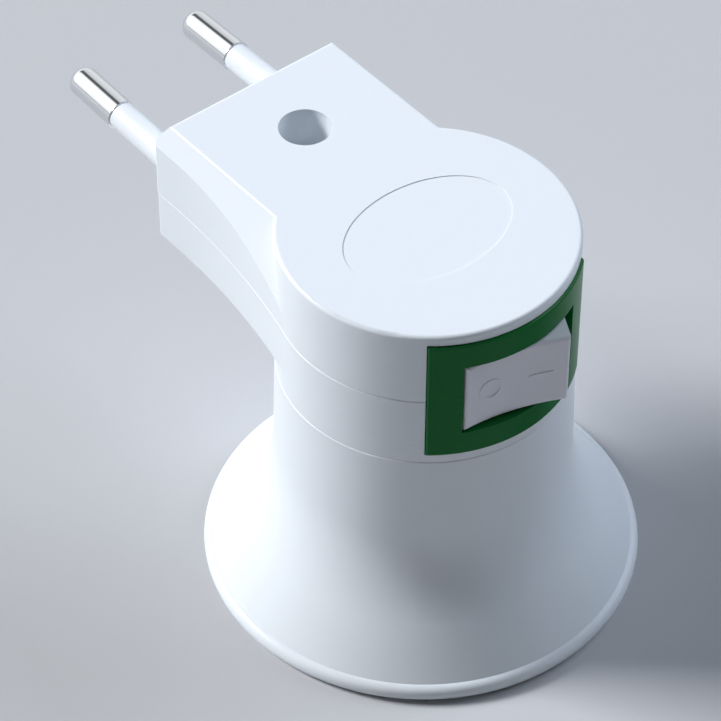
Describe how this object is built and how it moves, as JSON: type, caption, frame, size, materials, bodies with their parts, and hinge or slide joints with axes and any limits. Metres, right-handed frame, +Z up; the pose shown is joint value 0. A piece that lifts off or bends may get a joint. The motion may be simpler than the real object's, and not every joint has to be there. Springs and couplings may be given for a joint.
{
  "type": "plug in lamp holder",
  "caption": "White lamp holder that plugs into a wall socket on round pins, with a bell round the lamp's cap and a rocker switch in a green frame.",
  "frame": {"origin": "where the axis of the lamp socket meets the plane of the bell's mouth", "axes": "+Z up the socket's axis, away from the mouth; +Y along the plug, towards the pins' tips; the rocker switch faces -Y"},
  "size_m": [0.0546, 0.0848, 0.053],
  "materials": {
    "white_plastic": "semi-gloss",
    "green_plastic": "semi-gloss",
    "sleeve_plastic": "satin",
    "nickel": "polished",
    "brass": "satin",
    "steel": "zinc plated",
    "ceramic": "matte",
    "base_plastic": "matte",
    "brown_insulation": "satin",
    "blue_insulation": "satin"
  },
  "bodies": {
    "housing": {"upper_shell": "white_plastic", "lower_shell": "white_plastic", "bell_skirt": "white_plastic", "switch_frame": "green_plastic", "pivot_terminal": "brass", "fixed_terminal": "brass", "switch_base": "base_plastic", "pin_left": "nickel", "pin_right": "nickel", "sleeve_left": "sleeve_plastic", "sleeve_right": "sleeve_plastic", "neck_screw": "steel", "screw_shell": "brass", "socket_base": "ceramic", "socket_screws": "steel", "centre_contact": "brass", "centre_rivet": "brass", "lead_live": "brown_insulation", "lead_neutral": "blue_insulation", "lead_switched": "brown_insulation"},
    "rocker": {"rocker": "white_plastic", "plunger": "sleeve_plastic", "plunger_spring": "steel"},
    "seesaw": {"seesaw_contact": "brass"}
  },
  "joints": [
    {"name": "rocker_pivot", "type": "hinge", "parent": "housing", "child": "rocker", "pos_m": [0, -0.0125, 0.0428], "axis": [0, 0, 1], "range_deg": [0, 32]},
    {"name": "seesaw_pivot", "type": "hinge", "parent": "housing", "child": "seesaw", "pos_m": [0, -0.0072, 0.0428], "axis": [0, 0, 1], "range_deg": [-16, 0]}
  ],
  "couplings": [
    {"joint": "seesaw_pivot", "follows": "rocker_pivot", "ratio": -0.5}
  ]
}
